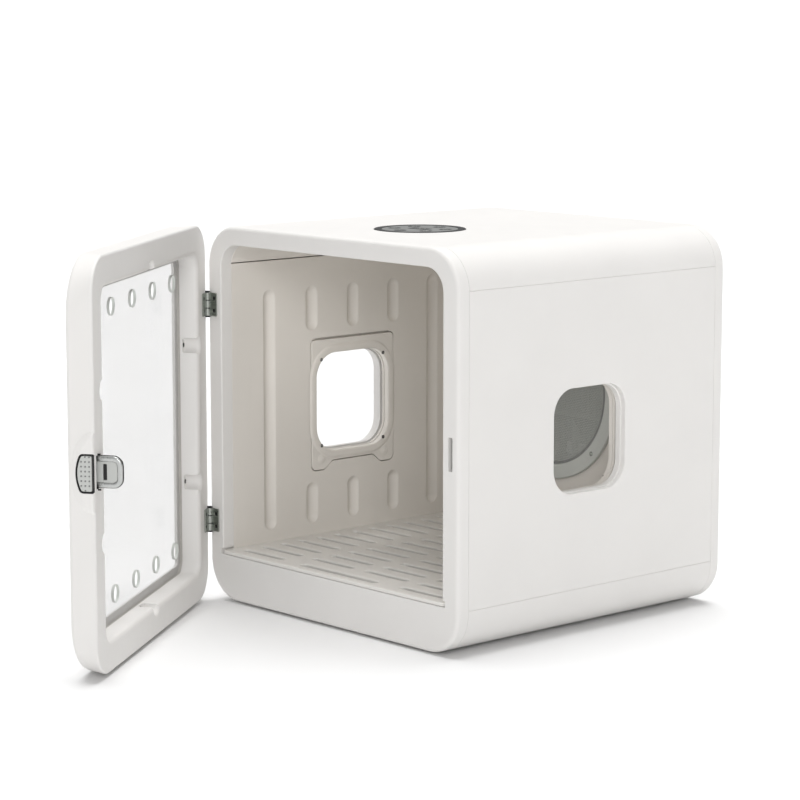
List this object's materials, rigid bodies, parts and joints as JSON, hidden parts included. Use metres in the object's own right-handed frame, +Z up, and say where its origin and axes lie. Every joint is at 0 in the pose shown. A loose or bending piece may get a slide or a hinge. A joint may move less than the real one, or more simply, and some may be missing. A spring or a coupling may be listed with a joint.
{
  "type": "pet drying cabinet",
  "caption": "White moulded pet drying cabinet with a clear-paned hinged door, side windows, slotted floor grate, warm-air outlet and a round control panel in its top.",
  "frame": {"origin": "middle of the flat underside of the base; the rubber feet reach 2.5 mm below it", "axes": "+X to the right seen from the front, +Y from the door to the back, +Z up; the door stands open at rest"},
  "size_m": [0.4582, 0.8028, 0.454],
  "materials": {
    "shell_white": "fine matte moulded texture, warm white",
    "liner_white": "fine matte moulded texture, warm white",
    "grate_white": "satin moulded plastic, warm white",
    "clear_pane": "clear polished plastic sheet",
    "vent_grey": "satin grey plastic",
    "panel_dark": "dark glossy plastic",
    "panel_grey": "grey glossy plastic with icons",
    "steel": "pressed steel, satin",
    "chrome": "bright plated",
    "latch_grey": "satin grey plastic with a dotted grip",
    "black_plastic": "matte black",
    "filter_foam": "open cell foam, dark",
    "rubber": "matte black rubber",
    "circuit_board": "green laminate"
  },
  "bodies": {
    "cabinet": {"front_frame": "shell_white", "left_liner": "liner_white", "right_liner": "liner_white", "base_shell": "shell_white", "rear_cover": "shell_white", "outlet_mesh": "vent_grey", "left_window_trim": "liner_white", "right_window_trim": "liner_white", "top_cover": "shell_white", "outlet_ring": "vent_grey", "right_panel": "shell_white", "panel_bezel": "panel_dark", "left_panel": "shell_white", "blower_shroud": "black_plastic", "inner_back_wall": "liner_white", "heater": "steel", "motor_mount": "steel", "lower_hinge_cabinet_leaf": "steel", "upper_hinge_cabinet_leaf": "steel", "fan_motor": "steel", "touch_panel": "panel_grey", "control_board": "circuit_board", "left_window_pane": "clear_pane", "right_window_pane": "clear_pane", "upper_hinge_pin": "steel", "lower_hinge_pin": "steel", "upper_liner": "liner_white", "power_inlet": "black_plastic", "front_left_foot": "rubber", "front_right_foot": "rubber", "rear_left_foot": "rubber", "rear_right_foot": "rubber", "upper_cabinet_leaf_screw_a": "steel", "upper_cabinet_leaf_screw_b": "steel", "lower_cabinet_leaf_screw_a": "steel", "lower_cabinet_leaf_screw_b": "steel", "strike_keeper": "steel", "drip_pan": "latch_grey"},
    "door": {"door_frame": "shell_white", "door_front_ring": "shell_white", "door_pane": "clear_pane", "latch_bezel": "black_plastic", "latch_pin": "steel", "latch_spring": "steel", "upper_hinge_door_leaf": "steel", "lower_hinge_door_leaf": "steel", "upper_door_leaf_screw_a": "steel", "upper_door_leaf_screw_b": "steel", "lower_door_leaf_screw_a": "steel", "lower_door_leaf_screw_b": "steel"},
    "latch": {"latch_paddle": "latch_grey", "latch_hook": "chrome"},
    "fan": {"impeller": "black_plastic", "fan_shaft": "steel"},
    "grate": {"floor_grate": "grate_white"},
    "intake_filter": {"filter_cover": "shell_white", "filter_pad": "filter_foam"}
  },
  "joints": [
    {"name": "door_hinge", "type": "hinge", "parent": "cabinet", "child": "door", "pos_m": [-0.2155, -0.21725, 0.225], "axis": [0, 0, -1], "range_deg": [-53.8, 66.2]},
    {"name": "latch_rocker", "type": "hinge", "parent": "door", "child": "latch", "pos_m": [0.03197, -0.56528, 0.2254], "axis": [0, 0, -1], "range_deg": [0, 3], "stiffness_Nm_per_rad": 0.5, "springref_deg": -5.73},
    {"name": "fan_spin", "type": "hinge", "parent": "cabinet", "child": "fan", "pos_m": [0, 0.175, 0.242], "axis": [0, 1, 0], "continuous": true},
    {"name": "grate_slide", "type": "slide", "parent": "cabinet", "child": "grate", "axis": [0, -1, 0], "range_m": [0, 0.022]},
    {"name": "filter_pull", "type": "slide", "parent": "cabinet", "child": "intake_filter", "axis": [0, 1, 0], "range_m": [0, 0.04]}
  ]
}
